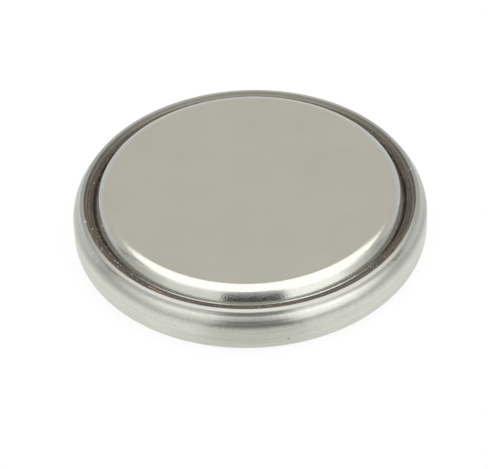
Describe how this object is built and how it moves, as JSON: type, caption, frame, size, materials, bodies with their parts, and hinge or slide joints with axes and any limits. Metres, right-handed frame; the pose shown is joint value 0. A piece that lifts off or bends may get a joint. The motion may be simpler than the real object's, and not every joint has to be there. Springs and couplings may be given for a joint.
{
  "type": "lithium coin cell",
  "caption": "Flat round lithium coin cell: a steel can rolled over a plastic sealing ring that grips the stepped rim of its cap.",
  "frame": {"origin": "centre of the can's flat floor, on the face that the cell stands on", "axes": "+Z is the cell's own axis, from the can's floor (positive) to the cap's face (negative); X and Y are any two directions square to it"},
  "size_m": [0.02, 0.02, 0.0032],
  "materials": {
    "can_steel": "satin drawn stainless steel",
    "cap_steel": "satin stamped stainless steel",
    "gasket": "brown moulded plastic with sealant on it",
    "lithium": "soft grey metal",
    "separator": "matt non-woven sheet",
    "cathode": "matt pressed powder",
    "ring_steel": "satin stainless steel"
  },
  "bodies": {
    "root": {"positive_can": "can_steel", "negative_cap": "cap_steel", "sealing_gasket": "gasket", "lithium_disc": "lithium", "separator": "separator", "cathode_pellet": "cathode", "cathode_ring": "ring_steel"}
  },
  "joints": []
}
